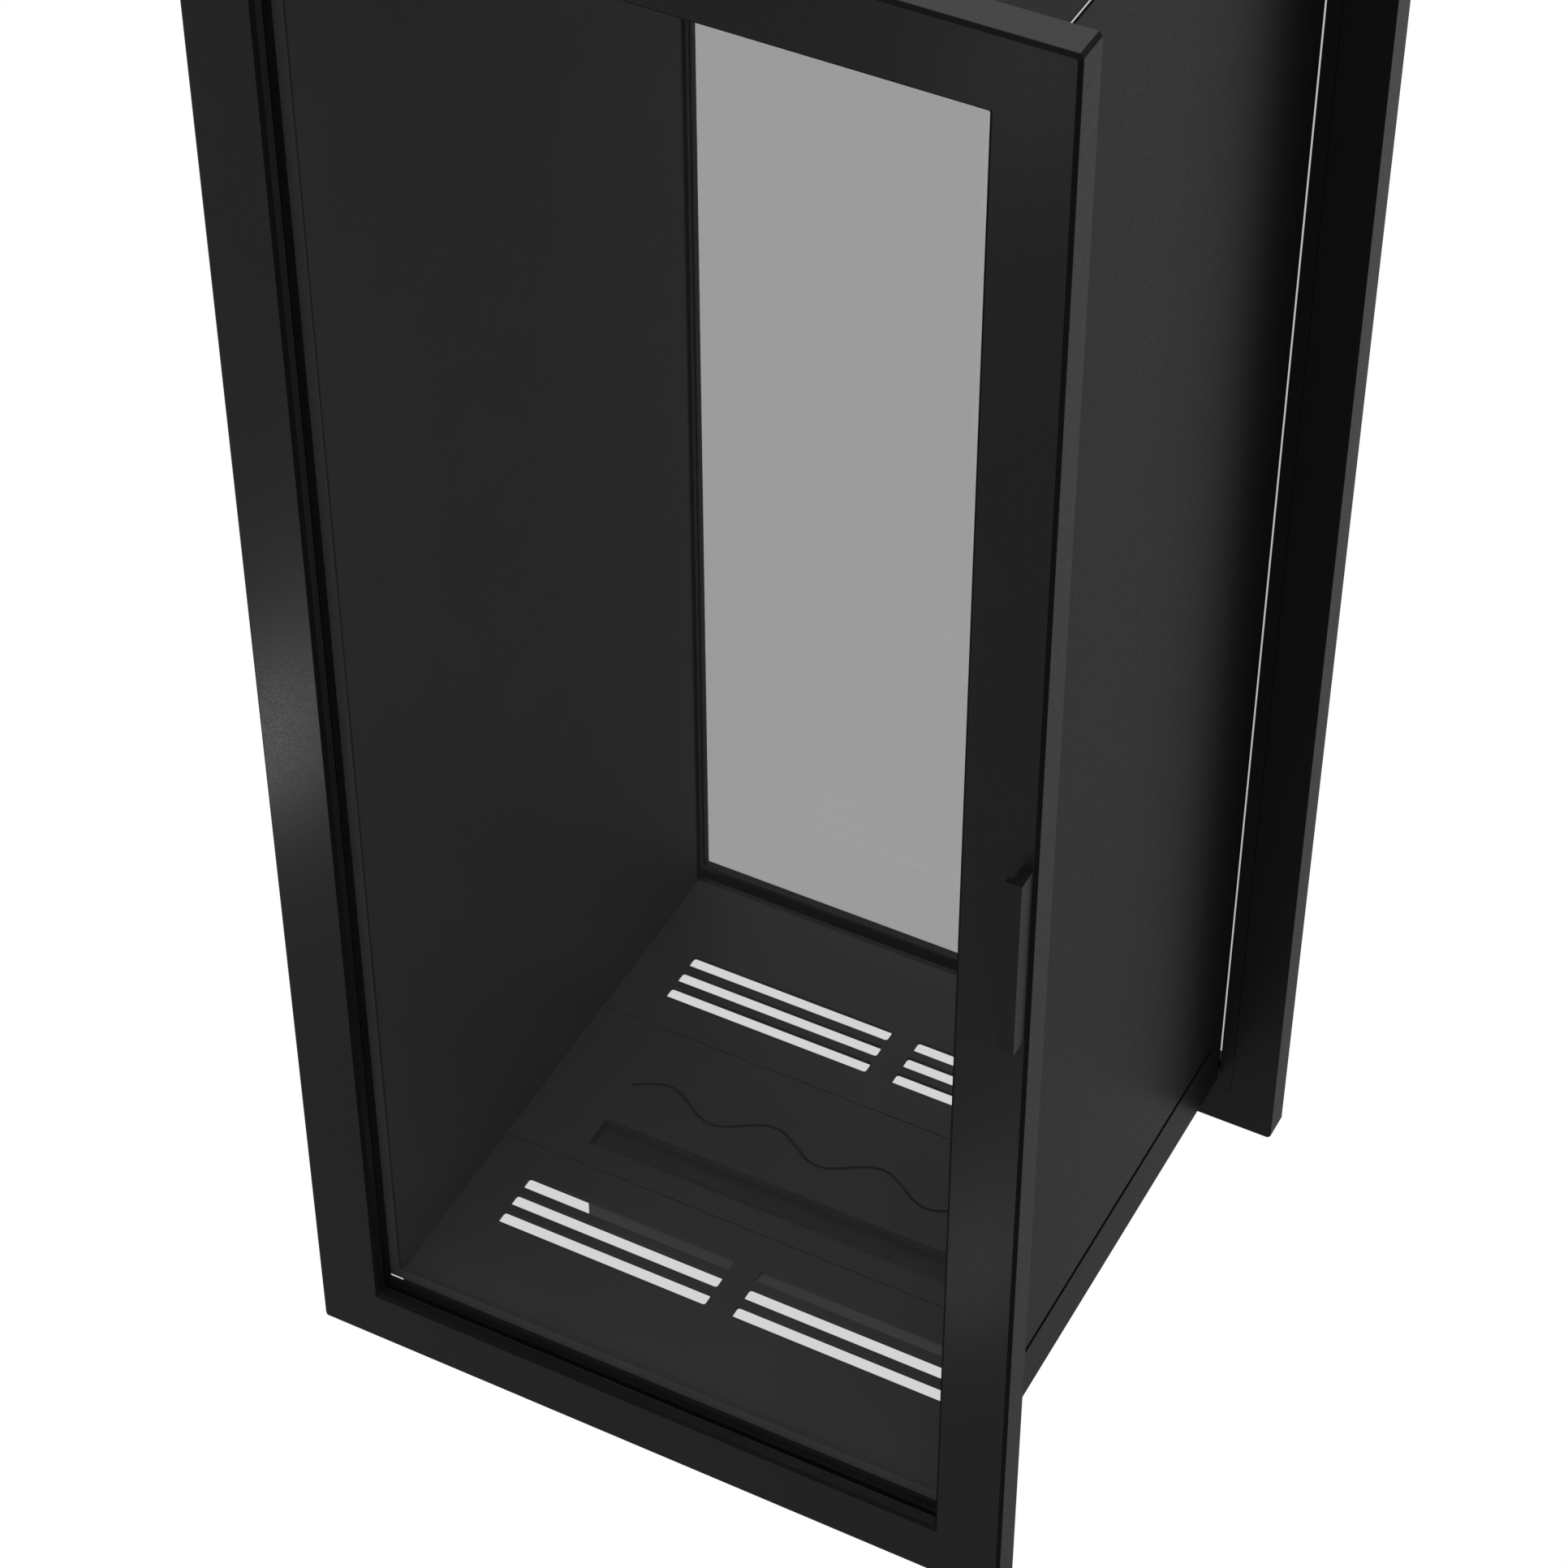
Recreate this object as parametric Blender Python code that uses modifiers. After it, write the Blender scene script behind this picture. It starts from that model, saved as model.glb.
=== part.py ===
"""Indoor telephone booth: two glazed portal frames with a narrow sheet-metal cabin between them.

The front portal is the whole door leaf, hung on three hinges behind its left edge. The rear portal is
fixed. Axes: +X to the right of someone facing the door, +Y into the booth, +Z up. The origin is on the
ground at the middle of the booth's outer box, handle included. All lengths are in metres.
"""

import math

import bmesh
import bpy
from mathutils import Matrix, Vector

# Driving dimensions of the two portals
WIDTH = 0.9404
FRAME_HEIGHT = 2.200
DEPTH = 0.870                # front face of the door to the rear face of the rear portal
GROUND_GAP = 0.010           # the portals hang this far above the ground
FRAME_BORDER = 0.086         # visible width of a stile or rail
FRAME_THICK = 0.0425
FRAME_CHAMFER = 0.004
REBATE_WIDE = 0.0256         # glazing rebate, on the cabin side of the inner edge
FRAME_WALL = 0.003           # the members are hollow sections
LIP_THICK = 0.016            # what is left in front of the rebate

# Glazing, from the lip towards the cabin
GASKET_THICK = 0.0014
GASKET_INSET = 0.0015        # from the sight edge of the lip
GLASS_THICK = 0.010
GLASS_EDGE_GAP = 0.004
BEAD_WIDE = 0.0177
BEAD_RECESS = 0.0003         # bead below the back of the members

# Door handle, a vertical extrusion of L section
HANDLE_REACH = 0.0257
HANDLE_LENGTH = 0.2465
HANDLE_BOTTOM = 0.985
HANDLE_STEM = 0.0133
HANDLE_FLANGE_WIDE = 0.019
HANDLE_FLANGE_THICK = 0.008
HANDLE_EDGE_INSET = 0.0047

# Cabin shell
BODY_HALF = 0.3918           # outer face of a side panel
SHEET = 0.003
PAN_DEPTH = 0.012            # returned edge of a panel
PAN_RADIUS = 0.004
DOOR_GAP = 0.002
BODY_BACK_FROM_FRONT = 0.8256
WALL_BOTTOM = 0.093
WALL_TOP = 2.121
ROOF_TOP = 2.127
SLOT_HIGH = 0.0090           # air slot low in each side panel
SLOT_Z = 0.1808
SLOT_END_INSET = 0.0395
ROOF_NOTCH = 0.020           # corner reliefs that clear the side panels' returns
LINING_BOTTOM = 0.091
LINING_TOP = 2.095
CEILING_END_INSET = 0.0155
SEAL_WIDE = 0.016             # rubber seal on the cabin's front edge
SEAL_THICK = 0.0013
SEAL_OVERHANG = 0.004         # how far it stands past the cabin's outer faces
CEILING_HALF = 0.368
LIGHT_HALF = (0.150, 0.095)
LIGHT_TALL = 0.018
LIGHT_WALL = 0.003
DIFFUSER_GAP = 0.0005
DIFFUSER_RECESS = 0.001
DIFFUSER_THICK = 0.004

# Angles that hold the cabin together
BRACKET_THICK = 0.002
BRACKET_REACH = 0.020
BRACKET_DROP = 0.026
BRACKET_LONG = 0.040
BRACKET_INSET = 0.031        # middle of a bracket from the end of the roof
TIE_THICK = 0.003
TIE_DEEP = 0.042
TIE_TALL = 0.058
TIE_LONG = 0.060
TIE_X = 0.25

# Floor
FLOOR_TOP = 0.096
FLOOR_THICK = 0.006
FLOOR_HALF = 0.3795
HATCH_FROM_FRONT = 0.3085    # joints on the two sides of the hatch
HATCH_TO_FRONT = 0.5625
PANEL_JOINT = 0.0015
VENT_LENGTH = 0.2972
VENT_WIDE = 0.0193
VENT_PITCH = 0.0316
VENT_INNER_X = 0.0185        # half of the bar between the left and right slots
VENT_CORNER = 0.0035
FRONT_VENT_Y = 0.1849        # middle of the first slot behind the door
REAR_VENT_Y = 0.6259
TROUGH_HALF = 0.2776         # finger trough that lifts the hatch
TROUGH_FROM = 0.3434
TROUGH_TO = 0.3893
TROUGH_DEEP = 0.015
TROUGH_WALL = 0.002
WAVE_PERIOD = 0.155
WAVE_SWING = 0.0167
WAVE_Y = 0.4595
WAVE_HALF = 0.2776
WAVE_GROOVE = 0.0045
WAVE_DEEP = 0.0035
WAVE_STEPS = 44

# Base under the floor
RAIL_X = 0.350
RAIL_WIDE = 0.028
RAIL_BOTTOM = 0.056
TUBE_WALL = 0.002
FRONT_BEAM = (0.050, 0.090)  # from and to, behind the door's face
REAR_BEAM = (0.765, 0.8272)
FOOT_X = 0.342
FOOT_RADIUS = 0.018
FOOT_PAD = 0.008
FOOT_CONE = 0.006
FOOT_STEM = 0.005
FOOT_YS = (0.100, 0.800)

# Ventilation unit under the hatch
TRAY_HALF = 0.253
TRAY_FROM = 0.295
TRAY_TO = 0.600
TRAY_BOTTOM = 0.016
TRAY_END_TOP = 0.074         # the ends stay below the hatch's trough
TRAY_SHEET = 0.0015
OUTLET_TALL = 0.016
OUTLET_MIDDLE = 0.040        # above the tray's bottom
OUTLET_END_MARGIN = 0.040
FAN_X = 0.155
FAN_Y = 0.4355
FAN_SIDE = 0.120
FAN_THICK = 0.025
FAN_HOLE = 0.0545
FAN_CORNER = 0.006
ARM_WIDE = 0.005
ARM_THICK = 0.003
MOTOR_TALL = 0.0036
SHAFT_RADIUS = 0.0024
SHAFT_TOP = 0.0135
SHAFT_BORE = 0.0028
BLADE_COUNT = 7
BLADE_TIP = 0.0515
BLADE_WIDE = 0.022
BLADE_THICK = 0.0016
BLADE_TILT = math.radians(35)
BLADE_ROOT = 0.003           # how deep a blade is set into the hub
HUB_RADIUS = 0.017
HUB_TALL = 0.018
HUB_LIFT = 0.0045            # hub's lower face above the fan housing's
SUPPLY_HALF = 0.045
SUPPLY_YS = (0.370, 0.560)
SUPPLY_TALL = 0.032
INLET_XS = (-0.210, -0.160)
INLET_ZS = (0.030, 0.058)
INLET_DEEP = 0.022
INLET_WALL = (0.011, 0.004)  # beside its socket opening, and above and below it
SOCKET_DEEP = 0.015

# Hinges
HINGE_X = -0.4102
HINGE_FROM_FRONT = 0.056
HINGE_ZS = {"bottom": 0.31, "middle": 1.11, "top": 1.91}
HINGE_TALL = 0.100
KNUCKLE_RADIUS = 0.010
PIN_RADIUS = 0.004
PIN_BORE = 0.0043
LEAF_THICK = 0.003
DOOR_LEAF_INSET = 0.012      # from the stile's outer edge
LEAF_CLEARANCE = 0.002       # between the door leaf's plate and the knuckles
TONGUE_LAP = 0.004
TONGUE_THICK = 0.005
BODY_LEAF_LONG = 0.050
BODY_LEAF_BACK = 0.004       # where the body leaf's plate starts, behind the pin
KNUCKLE_ARM = 0.005
PIN_SPARE = 0.006

# Magnetic catch on the outer side of the right panel
CATCH_END = 0.440
CATCH_YS = (0.001, 0.0305)   # behind the cabin's front edge
CATCH_ZS = (1.090, 1.130)
PLATE_XS = (0.413, 0.437)
PLATE_ZS = (1.085, 1.135)
PLATE_THICK = 0.002

GAP = 0.0003                 # clearance between parts that touch
OVERCUT = 0.010              # how far a through cutter runs past the material

# Derived places
FRONT = HANDLE_REACH - (DEPTH + HANDLE_REACH) / 2
BACK = FRONT + DEPTH
FRAME_BOTTOM = GROUND_GAP
FRAME_TOP = GROUND_GAP + FRAME_HEIGHT
FRAME_MIDDLE = (FRAME_BOTTOM + FRAME_TOP) / 2
SHOULDER = FRAME_BORDER - REBATE_WIDE
BODY_FRONT = FRONT + FRAME_THICK + DOOR_GAP
BODY_BACK = FRONT + BODY_BACK_FROM_FRONT
BODY_MIDDLE = (BODY_FRONT + BODY_BACK) / 2
REAR_FRAME_FRONT = BACK - FRAME_THICK
FLOOR_BOTTOM = FLOOR_TOP - FLOOR_THICK
HINGE_Y = FRONT + HINGE_FROM_FRONT

PARTS = "telephone_booth"
ROUND_PIECES = ("hinge_", "levelling_foot_", "fan_", "floor_panel_", "roof_panel", "side_panel_")
SHARP_ANGLE = math.radians(35)


# ---------------------------------------------------------------- scene and materials


def clear_scene():
    for thing in list(bpy.data.objects):
        bpy.data.objects.remove(thing, do_unlink=True)
    bpy.context.scene.collection.children.link(bpy.data.collections.new(PARTS))


def material(name, colour, roughness, metallic=0.0, alpha=1.0):
    made = bpy.data.materials.new(name)
    made.use_nodes = True
    shader = made.node_tree.nodes["Principled BSDF"]
    shader.inputs["Base Color"].default_value = (*colour, 1.0)
    shader.inputs["Roughness"].default_value = roughness
    shader.inputs["Metallic"].default_value = metallic
    shader.inputs["Alpha"].default_value = alpha
    made.diffuse_color = (*colour, alpha)
    return made


def make_materials():
    return {
        "frame": material("frame_coat", (0.022, 0.022, 0.023), 0.45, 0.2),
        "panel": material("panel_coat", (0.025, 0.025, 0.026), 0.50, 0.2),
        "glass": material("glass", (0.75, 0.78, 0.78), 0.02, 0.0, 0.3),
        "rubber": material("seal_rubber", (0.010, 0.010, 0.010), 0.80),
        "lining": material("lining_board", (0.025, 0.025, 0.026), 0.55),
        "floor": material("floor_coat", (0.028, 0.028, 0.029), 0.55),
        "steel": material("zinc_steel", (0.45, 0.45, 0.46), 0.40, 0.9),
        "grey": material("unit_steel", (0.10, 0.10, 0.105), 0.50, 0.3),
        "plastic": material("black_plastic", (0.018, 0.018, 0.018), 0.50),
        "diffuser": material("white_diffuser", (0.85, 0.85, 0.83), 0.40),
    }


# ---------------------------------------------------------------- shape helpers


def add_object(name, mesh, surface, place=(0, 0, 0), parent=None):
    """Puts a mesh into the booth at a world place, hung on its parent empty where it moves."""
    made = bpy.data.objects.new(name, mesh)
    mesh.materials.clear()
    mesh.materials.append(surface)
    bpy.data.collections[PARTS].objects.link(made)
    made.location = Vector(place)
    if parent is not None:
        made.parent = parent
        made.location = Vector(place) - parent.location
    return made


def pivot(name, place):
    """An empty on a joint's axis, which the moving pieces hang on."""
    made = bpy.data.objects.new(name, None)
    bpy.data.collections[PARTS].objects.link(made)
    made.location = place
    return made


def mesh_from(bm, name):
    bmesh.ops.recalc_face_normals(bm, faces=bm.faces)
    mesh = bpy.data.meshes.new(name)
    bm.to_mesh(mesh)
    bm.free()
    return mesh


def box_mesh(name, size):
    bm = bmesh.new()
    bmesh.ops.create_cube(bm, size=1.0, matrix=Matrix.Diagonal((*size, 1.0)))
    return mesh_from(bm, name)


def box(name, low, high, surface, parent=None):
    size = [b - a for a, b in zip(low, high)]
    middle = [(a + b) / 2 for a, b in zip(low, high)]
    return add_object(name, box_mesh(name, size), surface, middle, parent)


def cylinder_mesh(name, radius, tall, sides=32):
    bm = bmesh.new()
    bmesh.ops.create_cone(
        bm, cap_ends=True, segments=sides, radius1=radius, radius2=radius, depth=tall
    )
    return mesh_from(bm, name)


def rectangle(half_x, half_y, x=0.0, y=0.0):
    corners = ((-1, -1), (1, -1), (1, 1), (-1, 1))
    return [(x + sx * half_x, y + sy * half_y) for sx, sy in corners]


def rounded_rectangle(half_x, half_y, radius, x=0.0, y=0.0, steps=3):
    """A rectangle whose corners are quarter circles of the given radius."""
    points = []
    for corner, (sx, sy) in enumerate(((1, 1), (-1, 1), (-1, -1), (1, -1))):
        for step in range(steps + 1):
            angle = math.pi / 2 * (corner + step / steps)
            points.append(
                (
                    x + sx * (half_x - radius) + radius * math.cos(angle),
                    y + sy * (half_y - radius) + radius * math.sin(angle),
                )
            )
    return points


def circle(radius, x=0.0, y=0.0, sides=32):
    turn = 2 * math.pi / sides
    return [(x + radius * math.cos(turn * i), y + radius * math.sin(turn * i)) for i in range(sides)]


def outline_mesh(name, outlines, thick):
    """Closed outlines in XY, holes among them, filled and extruded by thick about Z = 0."""
    curve = bpy.data.curves.new(name, "CURVE")
    curve.dimensions = "2D"
    curve.fill_mode = "BOTH"
    curve.extrude = thick / 2
    for outline in outlines:
        spline = curve.splines.new("POLY")
        spline.points.add(len(outline) - 1)
        for point, (x, y) in zip(spline.points, outline):
            point.co = (x, y, 0.0, 1.0)
        spline.use_cyclic_u = True
    guide = bpy.data.objects.new(name + "_outline", curve)
    bpy.context.scene.collection.objects.link(guide)
    graph = bpy.context.evaluated_depsgraph_get()
    mesh = bpy.data.meshes.new_from_object(guide.evaluated_get(graph))
    bpy.data.objects.remove(guide, do_unlink=True)
    bm = bmesh.new()
    bm.from_mesh(mesh)
    bmesh.ops.remove_doubles(bm, verts=bm.verts, dist=1e-6)
    bpy.data.meshes.remove(mesh)
    return mesh_from(bm, name)


def turned(mesh, rows):
    """The mesh with its X, Y and Z axes laid along the three given directions."""
    matrix = Matrix(rows).transposed().to_4x4()
    mesh.transform(matrix)
    if matrix.determinant() < 0:
        mesh.flip_normals()
    return mesh


def bake(target):
    """Replaces an object's mesh by the result of its modifiers."""
    bpy.context.view_layer.update()
    graph = bpy.context.evaluated_depsgraph_get()
    result = bpy.data.meshes.new_from_object(target.evaluated_get(graph))
    target.modifiers.clear()
    target.data = result


def cut(target, mesh, place, operation="DIFFERENCE"):
    """Cuts a mesh from an object, or joins it, at a world place, and keeps the result as plain mesh."""
    tool = bpy.data.objects.new(target.name + "_tool", mesh)
    bpy.data.collections[PARTS].objects.link(tool)
    tool.location = place
    step = target.modifiers.new("cut", "BOOLEAN")
    step.object = tool
    step.operation = operation
    bake(target)
    bpy.data.objects.remove(tool, do_unlink=True)


def join(target, mesh, place):
    cut(target, mesh, place, "UNION")


def shade_round_pieces():
    for thing in bpy.data.collections[PARTS].objects:
        if thing.name.startswith(ROUND_PIECES) and thing.type == "MESH":
            thing.data.shade_smooth()
            thing.data.set_sharp_from_angle(angle=SHARP_ANGLE)


# ---------------------------------------------------------------- portals


def frame_section():
    """Outer and inner outline of a member: X inwards from its outer edge, Y from the show face."""
    c = FRAME_CHAMFER
    w = FRAME_WALL
    outer = [
        (c, 0.0),
        (FRAME_BORDER - c, 0.0),
        (FRAME_BORDER, c),
        (FRAME_BORDER, LIP_THICK),
        (SHOULDER, LIP_THICK),
        (SHOULDER, FRAME_THICK),
        (0.0, FRAME_THICK),
        (0.0, c),
    ]
    inner = [
        (c + w, w),
        (FRAME_BORDER - c - w, w),
        (FRAME_BORDER - w, c + w),
        (FRAME_BORDER - w, LIP_THICK - w),
        (SHOULDER - w, LIP_THICK - w),
        (SHOULDER - w, FRAME_THICK - w),
        (w, FRAME_THICK - w),
        (w, c + w),
    ]
    return [outer, inner]


def mitred_member(name, length, inward, depth, along, surface, place, parent=None):
    """A stile or rail with both ends cut at 45 degrees.

    inward, depth and along are the world directions of the section's X and Y and of its length, and
    place is the middle of its outer show edge.
    """
    member = add_object(name, outline_mesh(name, frame_section(), length), surface, place, parent)
    big = 4 * FRAME_BORDER
    for end in (-1, 1):
        waste = box_mesh(name + "_mitre", (big, big, big))
        out = Vector((1, 0, end)).normalized()
        waste.transform(Matrix.Rotation(-end * math.pi / 4, 4, "Y"))
        waste.transform(Matrix.Translation(out * big / 2 + Vector((0, 0, end * (length / 2 - GAP)))))
        cut(member, waste, place)
    turned(member.data, (inward, depth, along))


def portal(prefix, show_y, depth, surface, parent=None):
    """The four mitred members of one portal. depth is +Y or -Y, from the show face to the cabin."""
    half = WIDTH / 2
    left, right, up, down = (-1, 0, 0), (1, 0, 0), (0, 0, 1), (0, 0, -1)
    members = (
        ("stile_left", FRAME_HEIGHT, right, up, (-half, show_y, FRAME_MIDDLE)),
        ("stile_right", FRAME_HEIGHT, left, up, (half, show_y, FRAME_MIDDLE)),
        ("rail_bottom", WIDTH, up, right, (0, show_y, FRAME_BOTTOM)),
        ("rail_top", WIDTH, down, right, (0, show_y, FRAME_TOP)),
    )
    for name, length, inward, along, place in members:
        mitred_member(prefix + "_" + name, length, inward, depth, along, surface, place, parent)


def border_ring(name, outer_inset, inner_inset, thick, surface, middle_y, parent=None):
    """A flat upright ring whose edges lie at two distances inside the portal's outline."""
    insets = (outer_inset, inner_inset)
    outlines = [rectangle(WIDTH / 2 - inset, FRAME_HEIGHT / 2 - inset) for inset in insets]
    mesh = turned(outline_mesh(name, outlines, thick), ((1, 0, 0), (0, 0, 1), (0, 1, 0)))
    return add_object(name, mesh, surface, (0, middle_y, FRAME_MIDDLE), parent)


def glazing(prefix, show_y, side, surfaces, parent=None):
    """Gasket, pane and retaining bead in a portal's rebate. side is 1 where depth runs along +Y."""
    gasket_at = LIP_THICK + GAP
    glass_at = gasket_at + GASKET_THICK + GAP
    bead_at = glass_at + GLASS_THICK + GAP
    bead_thick = FRAME_THICK - BEAD_RECESS - bead_at
    border_ring(
        prefix + "_glass_gasket",
        SHOULDER + GLASS_EDGE_GAP,
        FRAME_BORDER - GASKET_INSET,
        GASKET_THICK,
        surfaces["rubber"],
        show_y + side * (gasket_at + GASKET_THICK / 2),
        parent,
    )
    inset = SHOULDER + GLASS_EDGE_GAP
    pane_y = show_y + side * (glass_at + GLASS_THICK / 2)
    box(
        prefix + "_glass",
        (-WIDTH / 2 + inset, pane_y - GLASS_THICK / 2, FRAME_BOTTOM + inset),
        (WIDTH / 2 - inset, pane_y + GLASS_THICK / 2, FRAME_TOP - inset),
        surfaces["glass"],
        parent,
    )
    border_ring(
        prefix + "_glazing_bead",
        SHOULDER + GAP,
        SHOULDER + BEAD_WIDE + GAP,
        bead_thick,
        surfaces["frame"],
        show_y + side * (bead_at + bead_thick / 2),
        parent,
    )


def door_handle(surfaces, parent):
    """A pull of L section: a stem standing off the stile and a flange turned towards the glass."""
    edge = WIDTH / 2 - HANDLE_EDGE_INSET
    face = FRONT - GAP
    tip = FRONT - HANDLE_REACH
    outline = [
        (edge, face),
        (edge - HANDLE_STEM, face),
        (edge - HANDLE_STEM, tip + HANDLE_FLANGE_THICK),
        (edge - HANDLE_FLANGE_WIDE, tip + HANDLE_FLANGE_THICK),
        (edge - HANDLE_FLANGE_WIDE, tip),
        (edge, tip),
    ]
    middle = HANDLE_BOTTOM + HANDLE_LENGTH / 2
    mesh = outline_mesh("door_handle", [outline], HANDLE_LENGTH)
    add_object("door_handle", mesh, surfaces["frame"], (0, 0, middle), parent)


# ---------------------------------------------------------------- hinges and catch


def hinge_door_leaf(level, z, surfaces, parent):
    """Plate on the back of the left stile, with the middle knuckle of the hinge."""
    name = "hinge_leaf_door_" + level
    back = FRONT + FRAME_THICK + GAP
    plate_end = HINGE_X - KNUCKLE_RADIUS - LEAF_CLEARANCE
    leaf = box(
        name,
        (-WIDTH / 2 + DOOR_LEAF_INSET, back, z - HINGE_TALL / 2),
        (plate_end, back + LEAF_THICK, z + HINGE_TALL / 2),
        surfaces["steel"],
        parent,
    )
    third = HINGE_TALL / 3 - GAP
    axis = (HINGE_X, HINGE_Y, z)
    tongue = box_mesh(name + "_tongue", (HINGE_X - plate_end + TONGUE_LAP, TONGUE_THICK, third))
    join(leaf, tongue, ((HINGE_X + plate_end - TONGUE_LAP) / 2, back + TONGUE_THICK / 2, z))
    join(leaf, cylinder_mesh(name + "_knuckle", KNUCKLE_RADIUS, third - GAP / 2, 24), axis)
    cut(leaf, cylinder_mesh(name + "_bore", PIN_BORE, HINGE_TALL, 24), axis)


def hinge_body_leaf(level, z, surfaces):
    """Plate on the outer face of the left side panel, with the two outer knuckles."""
    name = "hinge_leaf_body_" + level
    wall = -BODY_HALF - GAP
    plate_from = HINGE_Y + BODY_LEAF_BACK
    leaf = box(
        name,
        (wall - LEAF_THICK, plate_from, z - HINGE_TALL / 2),
        (wall, plate_from + BODY_LEAF_LONG, z + HINGE_TALL / 2),
        surfaces["steel"],
    )
    third = HINGE_TALL / 3
    arm_y = plate_from + KNUCKLE_ARM / 2
    for side in (-1, 1):
        at = z + side * third
        arm = box_mesh(name + "_arm", (wall - HINGE_X, KNUCKLE_ARM, third - GAP))
        join(leaf, arm, ((wall + HINGE_X) / 2, arm_y, at))
        knuckle = cylinder_mesh(name + "_knuckle", KNUCKLE_RADIUS, third - 2 * GAP, 24)
        join(leaf, knuckle, (HINGE_X, HINGE_Y, at))
    cut(leaf, cylinder_mesh(name + "_bore", PIN_BORE, HINGE_TALL + OVERCUT, 24), (HINGE_X, HINGE_Y, z))


def hinges(surfaces, door):
    for level, z in HINGE_ZS.items():
        hinge_door_leaf(level, z, surfaces, door)
        hinge_body_leaf(level, z, surfaces)
        pin = cylinder_mesh("hinge_pin_" + level, PIN_RADIUS, HINGE_TALL + PIN_SPARE, 24)
        add_object("hinge_pin_" + level, pin, surfaces["steel"], (HINGE_X, HINGE_Y, z))


def magnetic_catch(surfaces, door):
    """Magnet block on the right side panel, and the steel plate that it holds on the door."""
    back = FRONT + FRAME_THICK + GAP
    box(
        "magnetic_catch",
        (BODY_HALF + GAP, BODY_FRONT + CATCH_YS[0], CATCH_ZS[0]),
        (CATCH_END, BODY_FRONT + CATCH_YS[1], CATCH_ZS[1]),
        surfaces["plastic"],
    )
    box(
        "catch_plate",
        (PLATE_XS[0], back, PLATE_ZS[0]),
        (PLATE_XS[1], back + PLATE_THICK, PLATE_ZS[1]),
        surfaces["steel"],
        door,
    )


# ---------------------------------------------------------------- cabin shell


def pan_outline(half):
    """Cross-section of a sheet pan: a flat web at Y = 0 with its two long edges returned towards -Y."""

    def bend(sign, radius):
        angles = [math.pi / 2 * step / 4 for step in range(5)]
        return [
            (sign * (half - PAN_RADIUS + radius * math.sin(a)), -PAN_RADIUS + radius * math.cos(a))
            for a in angles
        ]

    def side(sign):
        tip = [(sign * half, -PAN_DEPTH), (sign * (half - SHEET), -PAN_DEPTH)]
        return bend(sign, PAN_RADIUS) + tip + bend(sign, PAN_RADIUS - SHEET)[::-1]

    return side(1) + side(-1)[::-1]


def side_panel(name, sign, surfaces):
    """Outer side panel: a pan standing on edge, with a long air slot near its foot."""
    tall = WALL_TOP - WALL_BOTTOM
    mesh = outline_mesh(name, [pan_outline((BODY_BACK - BODY_FRONT) / 2)], tall)
    mesh = turned(mesh, ((0, 1, 0), (sign, 0, 0), (0, 0, 1)))
    place = (sign * BODY_HALF, BODY_MIDDLE, WALL_BOTTOM + tall / 2)
    panel = add_object(name, mesh, surfaces["panel"], place)
    slot_long = BODY_BACK - BODY_FRONT - 2 * SLOT_END_INSET
    slot = box_mesh(name + "_slot", (SHEET * 4, slot_long, SLOT_HIGH))
    cut(panel, slot, (sign * BODY_HALF, BODY_MIDDLE, SLOT_Z))


def side_lining(name, sign, surfaces):
    """Acoustic board that fills a side panel from inside."""
    xs = sorted((sign * (BODY_HALF - PAN_DEPTH), sign * (BODY_HALF - PAN_RADIUS)))
    box(
        name,
        (xs[0], BODY_FRONT + SHEET + GAP, LINING_BOTTOM),
        (xs[1], BODY_BACK - SHEET - GAP, LINING_TOP),
        surfaces["lining"],
    )


def roof(surfaces):
    """Roof pan between the side panels, and the board under it."""
    half = BODY_HALF - SHEET
    mesh = outline_mesh("roof_panel", [pan_outline((BODY_BACK - BODY_FRONT) / 2)], 2 * half)
    mesh = turned(mesh, ((0, 1, 0), (0, 0, 1), (1, 0, 0)))
    panel = add_object("roof_panel", mesh, surfaces["panel"], (0, BODY_MIDDLE, ROOF_TOP))
    relief_tall = 2 * (ROOF_TOP - SHEET - WALL_TOP + ROOF_NOTCH)
    for x in (-half, half):
        for y in (BODY_FRONT, BODY_BACK):
            relief = box_mesh("roof_corner_relief", (ROOF_NOTCH, 2 * PAN_DEPTH, relief_tall))
            cut(panel, relief, (x, y, WALL_TOP - ROOF_NOTCH))
    box(
        "ceiling_lining",
        (-CEILING_HALF, BODY_FRONT + CEILING_END_INSET, ROOF_TOP - PAN_DEPTH),
        (CEILING_HALF, BODY_BACK - CEILING_END_INSET, ROOF_TOP - SHEET - GAP),
        surfaces["lining"],
    )


def ceiling_light(surfaces):
    """Aluminium tray with a flush diffuser, under the ceiling board."""
    top = ROOF_TOP - PAN_DEPTH - GAP
    low = top - LIGHT_TALL
    y = BODY_MIDDLE
    half_x, half_y = LIGHT_HALF
    tray = box("light_housing", (-half_x, y - half_y, low), (half_x, y + half_y, top), surfaces["grey"])
    pocket_x, pocket_y = half_x - LIGHT_WALL, half_y - LIGHT_WALL
    pocket = box_mesh("light_pocket", (2 * pocket_x, 2 * pocket_y, 2 * (LIGHT_TALL - LIGHT_WALL)))
    cut(tray, pocket, (0, y, low))
    pane_x, pane_y = pocket_x - DIFFUSER_GAP, pocket_y - DIFFUSER_GAP
    bottom = low + DIFFUSER_RECESS
    box(
        "light_diffuser",
        (-pane_x, y - pane_y, bottom),
        (pane_x, y + pane_y, bottom + DIFFUSER_THICK),
        surfaces["diffuser"],
    )


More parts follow.
